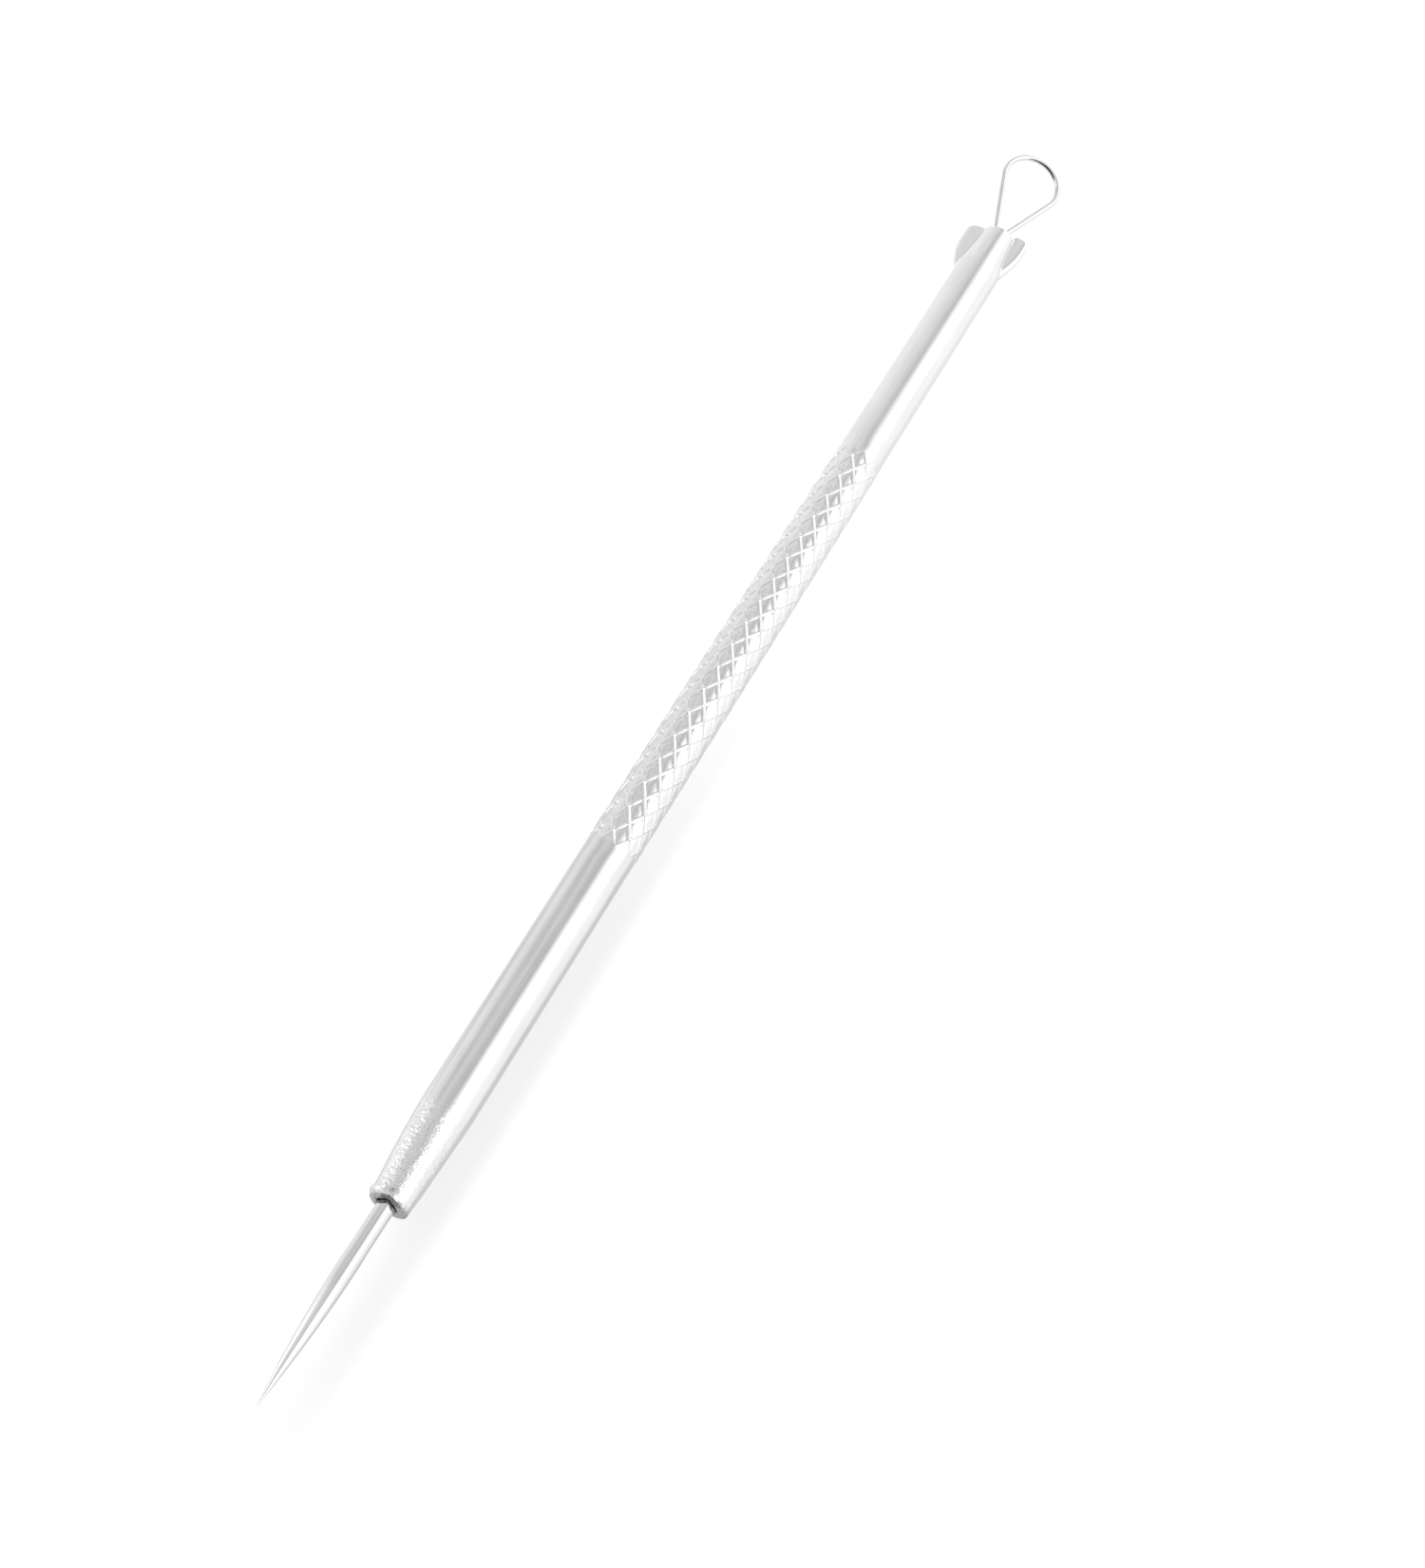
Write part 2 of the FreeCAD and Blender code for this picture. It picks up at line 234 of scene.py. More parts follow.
def lofted(name, rings):
    """Closed piece through rings in order, capped at both ends."""
    count = len(rings[0])
    faces = []
    for index in range(len(rings) - 1):
        faces += bridge(index * count, (index + 1) * count, count)
    last = (len(rings) - 1) * count
    faces += [list(range(count)), list(range(last, last + count))]
    return make_piece(name, np.concatenate(rings), faces)


def angle_from(middle, angles):
    """Angles counted from a middle one, from minus to plus half a turn."""
    return np.angle(np.exp(1j * (angles - middle)))


def uneven(x, angles, seed, x_size, round_cells):
    """Smooth seeded unevenness from -1 to 1; cells are x_size long and round_cells go round."""
    random = np.random.default_rng(seed)
    cells = random.uniform(-1, 1, (600, round_cells))
    along = np.asarray(x, float) / x_size + 100
    around = angles / (2 * math.pi) * round_cells
    row = np.floor(along).astype(int)
    column = np.floor(around).astype(int)
    row_share = smoothstep(0, 1, along - row)
    column_share = smoothstep(0, 1, around - column)
    left = cells[row, column % round_cells]
    right = cells[row, (column + 1) % round_cells]
    left_next = cells[row + 1, column % round_cells]
    right_next = cells[row + 1, (column + 1) % round_cells]
    near = left + (right - left) * column_share
    far = left_next + (right_next - left_next) * column_share
    return near + (far - near) * row_share


# ---- Handle tube --------------------------------------------------------------------------------

def nose_radius(x, angles):
    """Outer radius of the swaged cone and the start of the plain land, with the jaws' marks."""
    cone = MOUTH_OUTER_RADIUS + (TUBE_RADIUS - MOUTH_OUTER_RADIUS) * x / NOSE_LENGTH
    below_land = NOSE_BLEND * np.log1p(np.exp((TUBE_RADIUS - cone) / NOSE_BLEND))
    fade = smoothstep(MARKS_END, NOSE_LENGTH, x)
    marks = sum(depth * uneven(x, angles, *mark) for depth, *mark in JAW_MARKS)
    return TUBE_RADIUS - below_land * fade + marks * fade + burr(x, angles) - PIT_DEPTH * pit(x, angles)


def burr(x, angles):
    """Height of the burr on the left side of the mouth."""
    height = BURR_HEIGHT * np.exp(-(((x - BURR_PLACE) / BURR_LENGTH) ** 2))
    height -= BURR_FALL * smoothstep(0.1 * MM, -0.2 * MM, x)
    return height * np.clip(np.cos(angles), 0, 1) ** 2


def nose_ring(x, angles):
    """Ring on the swaged cone, whose mouth sits a little to the right of the tube's axis."""
    shift = MOUTH_SHIFT * smoothstep(NOSE_LENGTH, 0, x)
    return ring(x, nose_radius(x, angles), angles) - np.stack([0 * shift, shift, 0 * shift], axis=-1)


def pit(x, angles):
    """Small pit on top of the cone, just behind the lip: 1 at its middle and 0 outside it."""
    along = x - PIT_PLACE
    around = MOUTH_OUTER_RADIUS * angle_from(PIT_ANGLE, angles)
    return np.exp(-((along / PIT_LENGTH) ** 2) - (around / PIT_WIDTH) ** 2)


def lip_rings():
    """Ragged lip, from the edge of the off-centre opening round the rim's face to the cone."""
    angles = EVEN_ANGLES
    notch = NOTCH_DEPTH * np.exp(-((angle_from(NOTCH_ANGLE, angles) / NOTCH_SPREAD) ** 2))
    ragged = notch - LIP_REACH
    ragged += LIP_RAGGEDNESS * uneven(0, angles, seed=14, x_size=1 * MM, round_cells=13)
    outer = nose_ring(ragged + LIP_RADIUS, angles)
    inward = np.stack([0 * angles, -np.cos(angles), -np.sin(angles)], axis=1)
    rim = []
    for turn in np.linspace(0, math.pi / 2, 5):
        forward = np.array([-LIP_RADIUS * math.sin(turn), 0, 0])
        rim.append(outer + forward + inward * LIP_RADIUS * (1 - math.cos(turn)))
    opening = ring(ragged, OPENING_RADIUS, angles, centre=OPENING_CENTRE)
    face = []
    for share in (0.3, 0.65, 0.9):
        rough = uneven(share * MM, angles, seed=15, x_size=0.3 * MM, round_cells=31)
        face.append(rim[-1] + (opening - rim[-1]) * share)
        face[-1][:, 0] += LIP_FACE_ROUGHNESS * rough
    edge = [opening + (depth, 0, 0) for depth in OPENING_DEPTHS]
    return (rim + face + edge)[::-1]


def knurl_lattice():
    """Points and faces of the knurled band, on a grid that follows both groove families.

    The grid steps along the two families are counted by first and second.  Points with the same
    sum lie on one ring, and the whole band is those rings from one end to the other.
    """
    breaks = np.array(CELL_BREAKS)
    ring_sums = np.arange(CELL_STEPS, (KNURL_ROWS + 1) * CELL_STEPS + 1)
    sums = ring_sums[:, None]
    differences = 2 * np.arange(ROUND_STEPS)[None, :] + sums % 2
    first = (sums + differences) // 2
    second = (sums - differences) // 2
    first_share = breaks[first % CELL_STEPS]
    second_share = breaks[-second % CELL_STEPS]
    first_place = first // CELL_STEPS - 0.5 + first_share
    second_place = -(-second // CELL_STEPS) - 0.5 - second_share
    x = KNURL_START + (first_place + second_place) * KNURL_HALF_PITCH
    angles = (first_place - second_place) * math.pi / KNURL_STARTS + KNURL_TURN
    profile = knurl_profile(first_share, FIRST_PROFILE) + knurl_profile(second_share, SECOND_PROFILE)
    wear = KNURL_WEAR * uneven(x, angles, seed=21, x_size=1.1 * MM, round_cells=11)
    to_end = np.minimum(x - KNURL_START, KNURL_END - x)
    fade = smoothstep(0, KNURL_HALF_PITCH, to_end)
    radius = TUBE_RADIUS + fade * (profile + wear)
    points = np.stack([x, radius * np.cos(angles), radius * np.sin(angles)], axis=2)
    return points, angles, knurl_faces(len(ring_sums))


def knurl_profile(share, profile):
    """Height at a share across a cell."""
    shares, heights = zip(*profile)
    return np.interp(share, shares, heights) * MM


def knurl_faces(ring_count):
    """Quads of the lattice, and the triangles that finish its two straight ends."""
    step = np.arange(ROUND_STEPS)
    faces = []

    def number(ring_index, shift):
        return ring_index * ROUND_STEPS + (step + shift) % ROUND_STEPS

    def side_shifts(ring_index):
        """Shifts of the neighbours one step on along the first family and along the second."""
        return (1, 0) if ring_index % 2 else (0, -1)

    for index in range(ring_count - 2):
        ahead, behind = side_shifts(index)
        corners = (
            number(index, 0),
            number(index + 1, ahead),
            number(index + 2, 0),
            number(index + 1, behind),
        )
        faces += np.stack(corners, axis=1).tolist()
    start = (number(0, 0), number(0, 1), number(1, side_shifts(0)[0]))
    faces += np.stack(start, axis=1).tolist()
    ahead, behind = side_shifts(ring_count - 2)
    end = (number(ring_count - 2, 0), number(ring_count - 1, ahead), number(ring_count - 1, behind))
    faces += np.stack(end, axis=1).tolist()
    return faces


def fin_end(angles):
    """Where the fin on each angle's side of the tube ends."""
    return TUBE_END - FIN_END_UNEVEN * (np.cos(angles) > 0)


def fin_plan(x, angles):
    """How far a fin reaches from the axis at x: a flare, full width, then a rounded corner."""
    side = np.sign(np.cos(angles))
    start = FIN_START - side * FIN_START_UNEVEN
    full = FIN_REACH + side * FIN_REACH_UNEVEN
    root = TUBE_RADIUS - FIN_ROOT_DEPTH
    share = np.clip((x - start) / FIN_FLARE_LENGTH, 0, 1)
    reach = root + (full - root) * smoothstep(0, 1, share)
    reach += FIN_FLARE_SLOPE * FIN_FLARE_LENGTH * share * (1 - share) ** 2
    into_corner = np.maximum(0, x - (fin_end(angles) - FIN_CORNER_RADIUS))
    round_off = FIN_CORNER_RADIUS - np.sqrt(np.maximum(FIN_CORNER_RADIUS**2 - into_corner**2, 0))
    return reach - round_off


def fin_radius(reach, angles):
    """Distance from the axis to the outside of a fin with a folded round edge."""
    y = np.abs(np.cos(angles))
    z = np.abs(np.sin(angles))
    flat = FIN_HALF_THICKNESS / np.maximum(z, 1e-6)
    centre = reach - FIN_HALF_THICKNESS
    inside = np.maximum(FIN_HALF_THICKNESS**2 - (centre * z) ** 2, 0)
    edge = centre * y + np.sqrt(inside)
    return np.where(flat * y < centre, flat, edge)


def channel_radius(x):
    """Outer radius of the channel at x."""
    return np.interp(x, [CHANNEL_START, CHANNEL_END], [TUBE_RADIUS, CHANNEL_RADIUS])


def end_angles(x):
    """Angles of a ring at x whose points follow the creases between the channel and the fins."""
    crease = math.asin(FIN_HALF_THICKNESS / channel_radius(x))
    quarter_shares = [0, CREASE_SHARE, 1, 2 - CREASE_SHARE, 2, 2 + CREASE_SHARE, 3, 4 - CREASE_SHARE, 4]
    places = [0, crease, math.pi / 2, math.pi - crease, math.pi]
    places += [place + math.pi for place in places[1:]]
    return np.interp(EVEN_ANGLES / (math.pi / 2), quarter_shares, places)


def pressed_ring(x):
    """Outside of the pressed end at x: the channel, and the fins standing out of it."""
    angles = end_angles(x)
    fins = fin_radius(fin_plan(x, angles), angles) / CREASE_SOFTNESS
    radius = CREASE_SOFTNESS * np.logaddexp(channel_radius(x) / CREASE_SOFTNESS, fins)
    return ring(x, radius, angles)


def end_rings():
    """Rings past the channel's rim: it turns inwards while the fins' ends stand out beside it."""
    angles = end_angles(CHANNEL_END)
    # Points on the creases themselves belong to the rim
    on_fin = CHANNEL_RADIUS * np.abs(np.sin(angles)) < 0.99 * FIN_HALF_THICKNESS
    fin_ends = fin_end(angles)
    rim_start = CHANNEL_END - RIM_ROUNDING

    def mixed_ring(fin_x, fin_side, rim_x, rim_side):
        """Ring with one place and radius on the fins and another on the rim."""
        return ring(np.where(on_fin, fin_x, rim_x), np.where(on_fin, fin_side, rim_side), angles)

    rings = []
    for share in RIM_SHARES:
        turn = share * math.pi / 2
        rim_x = rim_start + RIM_ROUNDING * math.sin(turn)
        rim_radius = CHANNEL_RADIUS - RIM_ROUNDING * (1 - math.cos(turn))
        fin_x = rim_start + (fin_ends - rim_start) * share
        fins = fin_radius(fin_plan(fin_x, angles), angles)
        rings.append(mixed_ring(fin_x, fins, rim_x, rim_radius))
    fins = fin_radius(fin_plan(fin_ends, angles), angles)
    for share in (0.5, 1):
        inner = fins + (CHANNEL_RADIUS - fins) * share
        rim_radius = CHANNEL_RADIUS - RIM_ROUNDING * (1 + 0.3 * share)
        rings.append(mixed_ring(fin_ends, inner, CHANNEL_END, rim_radius))
    fin_foot = CHANNEL_RADIUS - 0.2 * RIM_ROUNDING
    rim_face = CHANNEL_RADIUS - 1.5 * RIM_ROUNDING
    rings.append(mixed_ring(CHANNEL_END, fin_foot, CHANNEL_END, rim_face))
    return rings


def front_rings(knurl_angles):
    """Rings from the mouth's lip over the cone and the plain land to the knurl."""
    nose_places = np.arange(LIP_RINGS_END, MARKS_END, NOSE_STEP)
    land_places = np.linspace(MARKS_END, KNURL_START - KNURL_TURN_LENGTH, 12)
    rings = lip_rings()
    rings += [nose_ring(x, EVEN_ANGLES) for x in nose_places]
    rings += [ring(x, TUBE_RADIUS, EVEN_ANGLES) for x in land_places]
    rings.append(ring(KNURL_START - KNURL_GAP, TUBE_RADIUS, knurl_angles))
    return rings


def rear_rings(knurl_angles):
    """Rings from the knurl over the rear land and the pressed end to the channel's face."""
    rings = [
        ring(KNURL_END + KNURL_GAP, TUBE_RADIUS, knurl_angles),
        ring(KNURL_END + KNURL_TURN_LENGTH, TUBE_RADIUS, EVEN_ANGLES),
    ]
    # The mesh turns slowly from even angles to those of the creases, ahead of the fins
    for share in np.linspace(0, 1, 9):
        angles = EVEN_ANGLES + (end_angles(FIN_START) - EVEN_ANGLES) * share
        rings.append(ring(FIN_START - (6 - 4 * share) * MM, TUBE_RADIUS, angles))
    pressed_places = np.arange(FIN_START - 1 * MM, CHANNEL_END - 1.5 * RIM_ROUNDING, PRESSED_STEP)
    rings += [pressed_ring(x) for x in pressed_places]
    rings.append(pressed_ring(CHANNEL_END - RIM_ROUNDING))
    return rings + end_rings()


def bore_rings():
    """Rings of the bore, from the channel back to the mouth."""
    return [
        ring(CHANNEL_END, CHANNEL_BORE_RADIUS, end_angles(CHANNEL_END)),
        ring(CHANNEL_START, BORE_RADIUS, end_angles(CHANNEL_START)),
        ring(CHANNEL_START - 6 * MM, BORE_RADIUS, EVEN_ANGLES),
        ring(NOSE_LENGTH, BORE_RADIUS, EVEN_ANGLES),
        ring(bush_low.x, MOUTH_BORE_RADIUS, EVEN_ANGLES),
    ]


def handle_tube():
    """The whole tube as one closed mesh: outside from mouth to fins, then back along its bore."""
    knurl_points, knurl_angles, band_faces = knurl_lattice()
    front = front_rings(knurl_angles[0])
    rear = rear_rings(knurl_angles[-1])
    blocks = front + [knurl_points.reshape(-1, 3)] + rear + bore_rings()
    starts = np.cumsum([0] + [len(block) for block in blocks])
    faces = []
    for index in range(len(blocks)):
        following = (index + 1) % len(blocks)
        last_ring = starts[index + 1] - ROUND_STEPS
        faces += bridge(last_ring, starts[following], ROUND_STEPS)
    offset = starts[len(front)]
    faces += [[offset + corner for corner in face] for face in band_faces]
    points = np.concatenate(blocks)
    tube = make_piece("tube_knurled", points, faces)
    mark_cut_and_painted_shade(tube, points)
    return tube


def mark_cut_and_painted_shade(tube, points):
    """Store where the metal is cut and dull and gets painted shade, 1 on the rim's face and in the pit,
    for its material.
    """
    angles = np.arctan2(points[:, 2], points[:, 1])
    rim_face = smoothstep(0.02 * MM, -0.06 * MM, points[:, 0])
    cut_and_shade = tube.data.attributes.new("cut_and_painted_shade", "FLOAT", "POINT")
    cut_and_shade.data.foreach_set("value", np.maximum(rim_face, pit(points[:, 0], angles)))


# ---- Needle -------------------------------------------------------------------------------------

def needle_radius(x):
    """Needle's radius at x: long convex point, slight shoulder, plain shank."""
    share = np.clip((x - NEEDLE_TIP) / (GRIND_START - NEEDLE_TIP), 0, 1)
    rise = 1 - (1 - share) ** NEEDLE_CONVEXITY
    point = NEEDLE_TIP_RADIUS + (NEEDLE_SHOULDER_RADIUS - NEEDLE_TIP_RADIUS) * rise
    shank = np.interp(x, [GRIND_START, SHANK_START], [NEEDLE_SHOULDER_RADIUS, NEEDLE_RADIUS])
    return np.where(x < GRIND_START, point, shank)


def needle():
    """Ground needle, one closed mesh with a finely rounded tip."""
    steps = 64
    angles = np.arange(steps) * 2 * math.pi / steps
    point_length = GRIND_START - NEEDLE_TIP
    # Rings stand closer together near the tip
    places = NEEDLE_TIP + point_length * np.linspace(0, 1, 70) ** 1.6
    rings = [ring(x, needle_radius(x), angles, centre=(-NEEDLE_LEAN * x, 0)) for x in places]
    rings.append(ring(SHANK_START, NEEDLE_RADIUS, angles, centre=(-NEEDLE_LEAN * SHANK_START, 0)))
    rings += [ring(x, NEEDLE_RADIUS, angles) for x in (0, NEEDLE_ROOT - NEEDLE_CHAMFER)]
    rings.append(ring(NEEDLE_ROOT, NEEDLE_RADIUS - NEEDLE_CHAMFER, angles))
    return lofted("needle_ground", rings)


# ---- Wire loop ----------------------------------------------------------------------------------

def loop_half_line():
    """Centre line of half the loop in its own plane, from a leg's root to the far end."""
    touch = np.array([
        LOOP_CENTRE - LOOP_HALF_WIDTH * math.sin(LEG_ANGLE),
        LOOP_HALF_WIDTH * math.cos(LEG_ANGLE),
    ])
    slope = np.array([math.cos(LEG_ANGLE), math.sin(LEG_ANGLE)])
    bend = touch - slope * (touch[1] - LEG_OFFSET) / math.sin(LEG_ANGLE)
    bend_start = bend - (LEG_BEND_REACH, 0)
    bend_end = bend + slope * LEG_BEND_REACH
    share = np.linspace(0, 1, 9)[1:-1, None]
    bend_curve = (1 - share) ** 2 * bend_start + 2 * share * (1 - share) * bend + share**2 * bend_end
    shoulder = np.linspace(math.pi / 2 + LEG_ANGLE, math.pi / 2, 9)[:, None]
    centre = np.array([LOOP_CENTRE, 0])
    arc = centre + LOOP_HALF_WIDTH * np.hstack([np.cos(shoulder), np.sin(shoulder)])
    far = np.linspace(math.pi / 2, 0, 33)[1:, None]
    end = centre + np.hstack([LOOP_END_LENGTH * np.cos(far), LOOP_HALF_WIDTH * np.sin(far)])
    leg = np.linspace(bend_end, touch, 8)[:-1]
    return np.vstack([[LEG_ROOT, LEG_OFFSET], bend_start, bend_curve, leg, arc, end])


def wire_loop():
    """Teardrop of round wire, swept along its centre line and twisted against the fins."""
    half = loop_half_line()
    line = np.vstack([half, half[-2::-1] * (1, -1)])
    tangents = np.gradient(line, axis=0)
    tangents /= np.linalg.norm(tangents, axis=1)[:, None]
    steps = 28
    turn = np.arange(steps)[:, None] * 2 * math.pi / steps
    rings = []
    for place, tangent in zip(line, tangents):
        across = np.array([-tangent[1], tangent[0]])
        flat = place + WIRE_RADIUS * np.cos(turn) * across
        height = WIRE_RADIUS * np.sin(turn)
        rings.append(
            np.hstack([
                flat[:, :1],
                LOOP_SHIFT + flat[:, 1:] * math.cos(LOOP_TWIST) - height * math.sin(LOOP_TWIST),
                flat[:, 1:] * math.sin(LOOP_TWIST) + height * math.cos(LOOP_TWIST),
            ])
        )
    return lofted("loop_wire", rings)


# ---- Materials ----------------------------------------------------------------------------------

class Shader:
    """Small helper that adds nodes to one material or world and joins them."""

    def __init__(self, owner):
        owner.use_nodes = True
        self.tree = owner.node_tree
        self.tree.nodes.clear()

    def add(self, kind, inputs=None, **settings):
        """Node of that kind; inputs maps socket names or numbers to values or sockets."""
        node = self.tree.nodes.new(kind)
        for key, value in settings.items():
            setattr(node, key, value)
        for key, value in (inputs or {}).items():
            if isinstance(value, bpy.types.NodeSocket):
                self.tree.links.new(value, node.inputs[key])
            else:
                node.inputs[key].default_value = value
        return node

    def math(self, operation, *values):
        """Output of a maths node on numbers or sockets."""
        return self.add("ShaderNodeMath", dict(enumerate(values)), operation=operation).outputs[0]

    def blend(self, share, first, second):
        """First where share is 0, second where it is 1."""
        return self.math("MULTIPLY_ADD", share, self.math("SUBTRACT", second, first), first)

    def range(self, value, low, high, to_low=0.0, to_high=1.0, smooth=True):
        """Value mapped from one range to another, clamped at its ends."""
        kind = "SMOOTHSTEP" if smooth else "LINEAR"
        sockets = {"Value": value, "From Min": low, "From Max": high, "To Min": to_low, "To Max": to_high}
        return self.add("ShaderNodeMapRange", sockets, interpolation_type=kind).outputs[0]

    def ramp(self, value, stops):
        """Brightness ramp through (place, brightness) stops, in order."""
        node = self.add("ShaderNodeValToRGB", {"Fac": value})
        elements = node.color_ramp.elements
        while len(elements) < len(stops):
            elements.new(1.0)
        for element, (place, brightness) in zip(elements, stops):
            element.position = place
            element.color = (brightness, brightness, brightness, 1)
        return node.outputs["Color"]

    def noise(self, place, scale, detail=3.0, rough=0.5):
        """Noise from 0 to 1; scale is its cells per metre along each axis of place."""
        stretched = self.add("ShaderNodeMapping", {"Vector": place, "Scale": scale}).outputs[0]
        sockets = {"Vector": stretched, "Scale": 1.0, "Detail": detail, "Roughness": rough}
        return self.add("ShaderNodeTexNoise", sockets).outputs[0]

    def bump(self, height, distance, below=None):
        """Normal with that height added, distance metres high, on top of the normal below."""
        sockets = {"Strength": 1.0, "Distance": distance, "Height": height}
        if below is not None:
            sockets["Normal"] = below
        return self.add("ShaderNodeBump", sockets).outputs[0]

    def finish(self, surface):
        """Join the surface or background to the output."""
        output = self.add("ShaderNodeOutputWorld" if surface.bl_idname == "ShaderNodeBackground"
                          else "ShaderNodeOutputMaterial")
        self.tree.links.new(surface.outputs[0], output.inputs[0])


def steel(name, grey, roughness, streaks=1.0, add_detail=None):
    """Polished stainless steel with drawing lines along X, faint haze and fine specks.

    add_detail, when given, takes the shader, the place, the brightness, roughness and normal
    sockets, and returns the last three with more detail.
    """
    material = bpy.data.materials.new(name)
    shader = Shader(material)
    place = shader.add("ShaderNodeTexCoord").outputs["Object"]
    fine_lines = shader.noise(place, (120, 5200, 5200), detail=4.0, rough=0.6)
    broad_lines = shader.noise(place, (45, 1500, 1500), detail=2.0)
    haze = shader.noise(place, (260, 420, 420), detail=4.0)
    specks = shader.noise(place, (4200, 4200, 4200), detail=2.0)

    line_shade = shader.range(fine_lines, 0.25, 0.6, 0.93, 1.0)
    brightness = shader.math("MULTIPLY", line_shade, shader.range(haze, 0.3, 0.7, grey * 0.965, grey))
    rough = shader.range(haze, 0.35, 0.75, roughness * 0.8, roughness * 1.4)
    normal = shader.bump(fine_lines, 2.2e-6 * streaks)
    normal = shader.bump(broad_lines, 5e-6 * streaks, normal)
    normal = shader.bump(specks, 1.4e-6, normal)
    if add_detail:
        brightness, rough, normal = add_detail(shader, place, brightness, rough, normal)

    surface = shader.add(
        "ShaderNodeBsdfPrincipled",
        {"Base Color": brightness, "Metallic": 1.0, "Roughness": rough, "Normal": normal},
    )
    shader.finish(surface)
    return material


def tube_detail(shader, place, brightness, rough, normal):
    """Jaw marks on the cone, streaks and mottling on the knurl, and at the mouth dull cut metal with
    painted shade.
    """
    x, y, z = shader.add("ShaderNodeSeparateXYZ", {0: place}).outputs
    near_nose = shader.range(x, LAND_START - 1.5 * MM, MARKS_END, 1.0, 0.0)
    marks = shader.noise(place, (3800, 2400, 2400), detail=2.0, rough=0.6)
    normal = shader.bump(shader.math("MULTIPLY", marks, near_nose), 80e-6, normal)

    # Streaks run along one family of the knurl's grooves
    on_knurl = shader.math(
        "MULTIPLY",
        shader.range(x, KNURL_START - 0.3 * MM, KNURL_START + 0.6 * MM),
        shader.range(x, KNURL_END + 0.3 * MM, KNURL_END - 0.6 * MM),
    )
    around = shader.math("MULTIPLY", shader.math("ARCTAN2", y, z), -TUBE_RADIUS)
    across = shader.math("MULTIPLY_ADD", x, math.tan(KNURL_ANGLE), around)
    streak_place = shader.add("ShaderNodeCombineXYZ", {0: x, 1: across, 2: 0.0}).outputs[0]
    streaks = shader.noise(streak_place, (500, 9000, 1), detail=2.0)
    normal = shader.bump(shader.math("MULTIPLY", streaks, on_knurl), 9e-6, normal)
    mottling = shader.noise(place, (2500, 2500, 2500), detail=3.0)
    normal = shader.bump(shader.math("MULTIPLY", mottling, on_knurl), 30e-6, normal)

    # Painted shade: the rim's face and the pit get a dark mottled base colour for the shade in the mouth,
    # together with a rougher finish and fine bumps
    cut_and_shade = shader.add("ShaderNodeAttribute", attribute_name="cut_and_painted_shade").outputs["Fac"]
    cut_and_shade_grain = shader.noise(place, (5000, 5000, 5000), detail=4.0)
    brightness = shader.blend(cut_and_shade, brightness, shader.range(cut_and_shade_grain, 0.3, 0.7, 0.25, 0.55))
    rough = shader.blend(cut_and_shade, rough, 0.45)
    normal = shader.bump(shader.math("MULTIPLY", cut_and_shade_grain, cut_and_shade), 20e-6, normal)
    return brightness, rough, normal


def dress(piece, material):
    """Give a piece one material for all its faces."""
    piece.data.materials.clear()
    piece.data.materials.append(material)


# ---- Surroundings -------------------------------------------------------------------------------

def floor():
    """Plain pale floor under the knurl's crests that glows with painted light, an emission standing in
    for lamp light, so shadows stay faint.
    """
    edge = 1.5
    crest = (FIRST_PROFILE[0][1] + SECOND_PROFILE[0][1]) * MM
    height = -TUBE_RADIUS - crest
    mesh = bpy.data.meshes.new("floor")
    corners = [(x, y, height) for x, y in ((-edge, -edge), (edge, -edge), (edge, edge), (-edge, edge))]
    mesh.from_pydata(corners, [], [(0, 1, 2, 3)])
    plane = bpy.data.objects.new("floor", mesh)
    bpy.context.scene.collection.objects.link(plane)
    material = bpy.data.materials.new("floor_painted_glow")
    shader = Shader(material)
    place = shader.add("ShaderNodeTexCoord").outputs["Object"]
    x, y, _ = shader.add("ShaderNodeSeparateXYZ", {0: place}).outputs
    # Painted light: the glow grows away from the camera, and is stronger on the right and at the front
    # left, where the steel reflects the floor
    near_end = 20 * MM
    far_end = 90 * MM
    glow = shader.range(x, near_end, far_end, 0.8, 1.1)
    right_glow = shader.range(x, near_end, far_end, 1.26, 1.33)
    right = shader.range(y, -2.7 * MM, -7.5 * MM)
    glow = shader.blend(right, glow, right_glow)
    front = shader.range(x, near_end, 8 * MM)
    left = shader.range(y, 4 * MM, 14 * MM)
    glow = shader.math("MULTIPLY_ADD", shader.math("MULTIPLY", front, left), 0.55, glow)
    surface = shader.add(
        "ShaderNodeBsdfPrincipled",
        {
            "Base Color": (0.2, 0.2, 0.2, 1),
            "Roughness": 0.9,
            "Specular IOR Level": 0.0,
            "Emission Color": (1, 1, 1, 1),
            "Emission Strength": glow,
        },
    )
    shader.finish(surface)
    dress(plane, material)


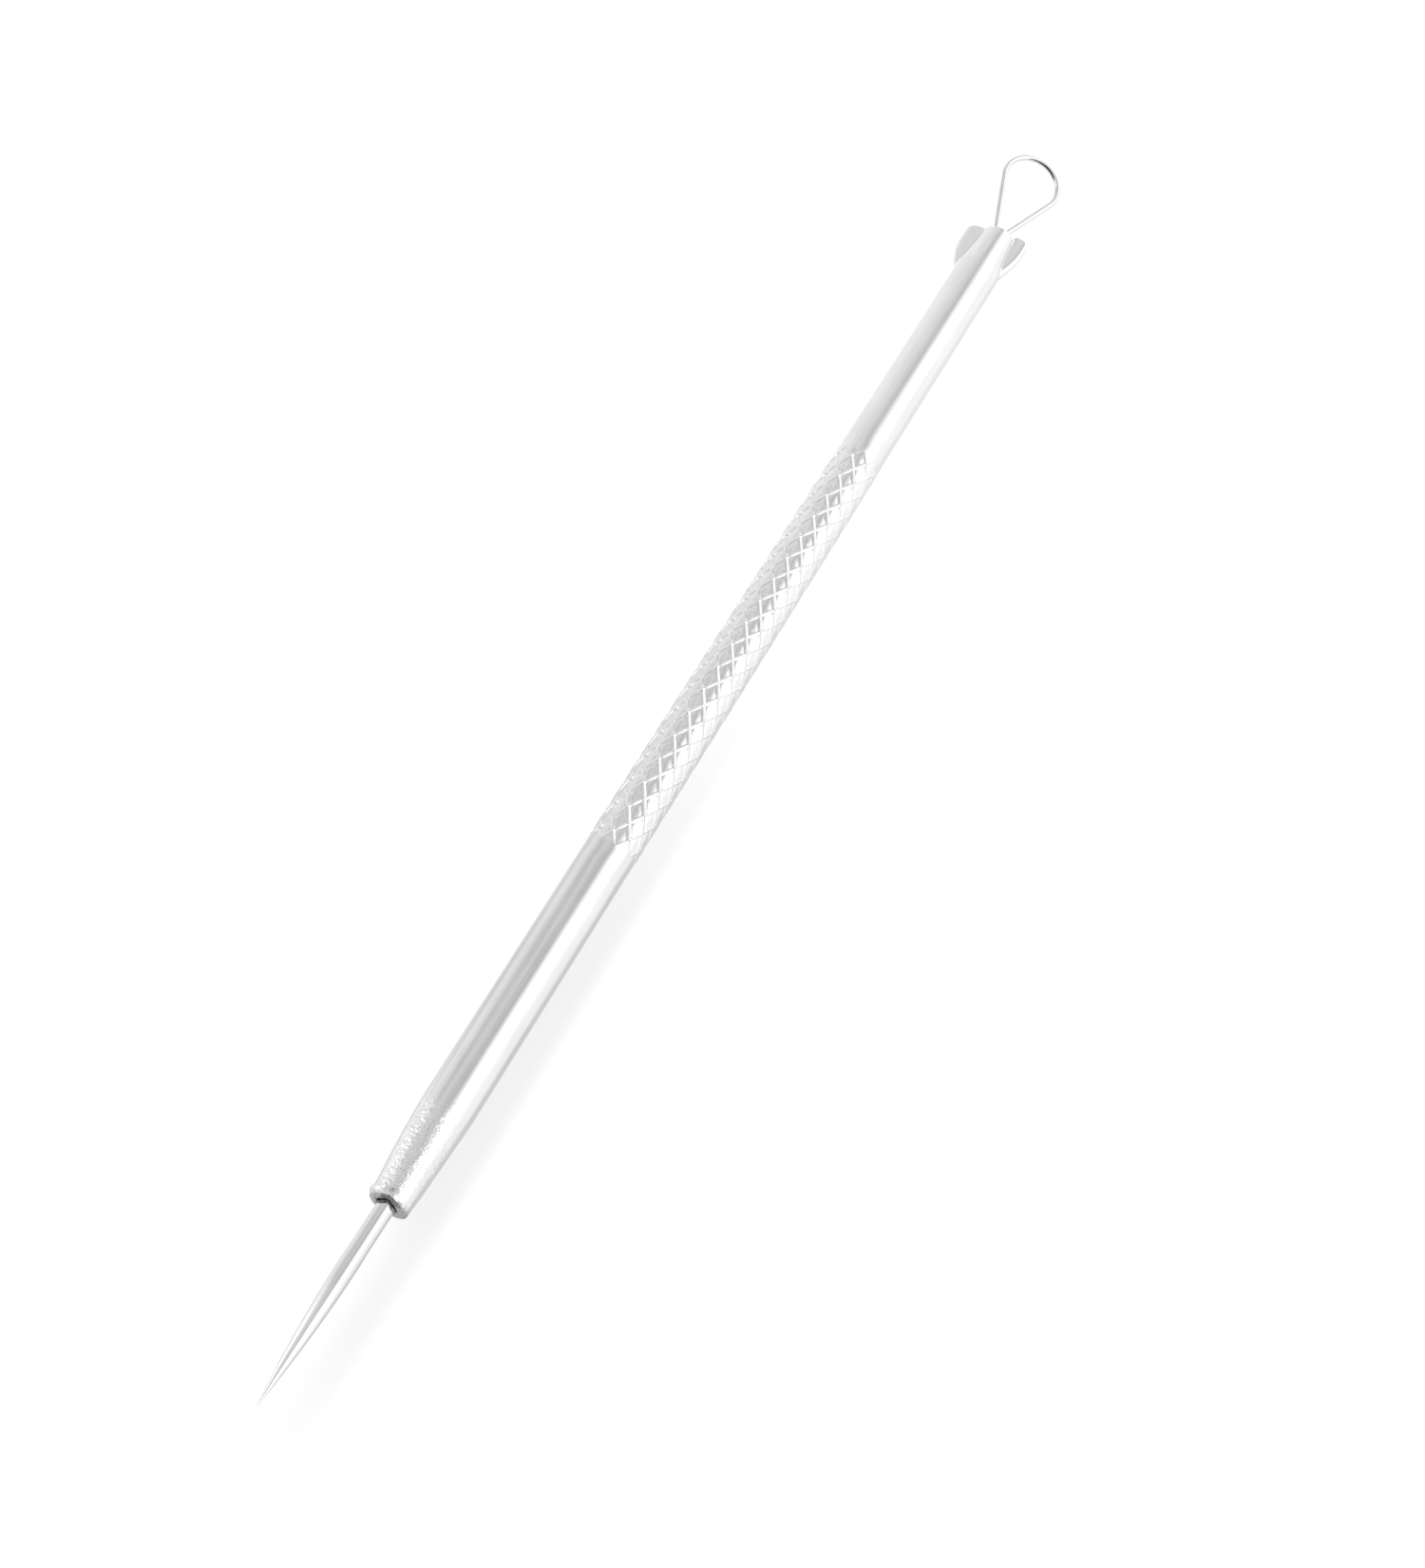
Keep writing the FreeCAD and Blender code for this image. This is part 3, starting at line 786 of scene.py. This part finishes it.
def studio_world():
    """Soft studio that the steel reflects: a broad white panel on its right, greys on its left.

    Directions are sorted by their angle round the tool's axis, counted in degrees from straight
    up and positive towards the left, and by their share along the axis.  The brightness in each
    direction was set until the bands on the steel looked like those in the photograph.
    """
    world = bpy.data.worlds.new("studio")
    bpy.context.scene.world = world
    shader = Shader(world)
    direction = shader.add("ShaderNodeTexCoord").outputs["Generated"]
    along, left, up = shader.add("ShaderNodeSeparateXYZ", {0: direction}).outputs
    angle = shader.math("DEGREES", shader.math("ARCTAN2", left, up))
    place = shader.range(angle, -180, 180, smooth=False)
    white = 1.95

    def sweep(*stops):
        """Ramp round the axis through (degrees, radiance) stops, from right to left."""
        shares = [((degrees + 180) / 360, radiance / white) for degrees, radiance in stops]
        return shader.ramp(place, shares)

    front = sweep(
        (-88, 1.5), (-60, white), (-36, white), (-31, 1.65), (-26, 1.38),
        (-22, 1.1), (-16, 0.84), (0, 0.83), (12, 0.97), (24, 1.0),
        (33, 0.86), (46, 0.87), (61, 1.1), (78, 1.22), (100, 1.15),
    )
    rear = sweep(
        (-88, 1.5), (-60, white), (-34, white), (-29, 1.65), (-23, 1.42),
        (-17, 1.15), (-12, 0.97), (-8, 0.88), (-2, 0.86), (6, 1.0),
        (20, 1.12), (50, 1.2), (78, 1.32), (100, 1.25),
    )
    studio = shader.blend(shader.range(along, 0.42, 0.62), front, rear)
    studio = shader.math("MULTIPLY", studio, white)

    # White card on the left, level with the needle, and a faint light all round there
    card = shader.math("MULTIPLY", shader.range(angle, 31, 44), shader.range(angle, 88, 80))
    card = shader.math("MULTIPLY", card, shader.range(along, 0.24, 0.14))
    studio = shader.math("MULTIPLY_ADD", card, 0.68, studio)
    studio = shader.math("ADD", studio, shader.range(along, 0.22, 0.1, 0.0, 0.12))
    # Dark room behind the camera
    studio = shader.math("MULTIPLY", studio, shader.range(along, -0.18, -0.42, 1.0, 0.05))

    # Only reflections see the panels: the floor gets a broad soft light from the left instead,
    # and the camera sees an even pale backdrop
    from_left = shader.range(angle, 20, 60)
    from_left = shader.math("MULTIPLY", from_left, shader.range(angle, 92, 70))
    lamp = shader.math("MULTIPLY_ADD", from_left, 3.2, 0.45)
    backdrop = 1.1
    rays = shader.add("ShaderNodeLightPath").outputs
    strength = shader.blend(rays["Is Camera Ray"], lamp, backdrop)
    strength = shader.blend(rays["Is Glossy Ray"], strength, studio)
    shader.finish(shader.add("ShaderNodeBackground", {"Color": (1, 1, 1, 1), "Strength": strength}))


def camera():
    """Camera above the needle's end, looking down along the tool towards the loop."""
    low, high = cad_box
    centre = (Vector(low) + Vector(high)) / 2
    towards_needle = 8.1 * MM
    to_right = 3.95 * MM
    aim = Vector((centre.x - towards_needle, -to_right, 0))
    distance = 187 * MM
    elevation = math.radians(57.6)
    swing = math.radians(27.54)
    back = Vector((-math.cos(swing), -math.sin(swing), math.tan(elevation))).normalized()
    lens = bpy.data.cameras.new("camera")
    lens.sensor_width = 36.0
    lens.lens = 56.73
    lens.clip_start = 0.01
    holder = bpy.data.objects.new("camera", lens)
    bpy.context.scene.collection.objects.link(holder)
    holder.location = aim + back * distance
    holder.rotation_euler = (-back).to_track_quat("-Z", "Y").to_euler()
    bpy.context.scene.camera = holder


# ---- Build --------------------------------------------------------------------------------------

tube_piece = handle_tube()
needle_piece = needle()
loop_piece = wire_loop()
for piece, node in ((tube_piece, "handle_tube"), (needle_piece, "needle"), (loop_piece, "wire_loop")):
    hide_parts(node)

dress(tube_piece, steel("tube_steel", 0.62, 0.13, add_detail=tube_detail))
dress(needle_piece, steel("needle_steel", 0.61, 0.11, streaks=0.6))
dress(loop_piece, steel("wire_steel", 0.6, 0.1, streaks=0.3))
# Painted shade: the bush and the sleeve sit inside the tube, and their dark grey stands in for the shade
# there
dress(frame["nodes"]["needle_bush"], steel("bush_steel", 0.25, 0.4))
dress(frame["nodes"]["leg_sleeve"], steel("sleeve_steel", 0.25, 0.4))

floor()
studio_world()
camera()
bpy.context.scene.view_settings.view_transform = "Standard"
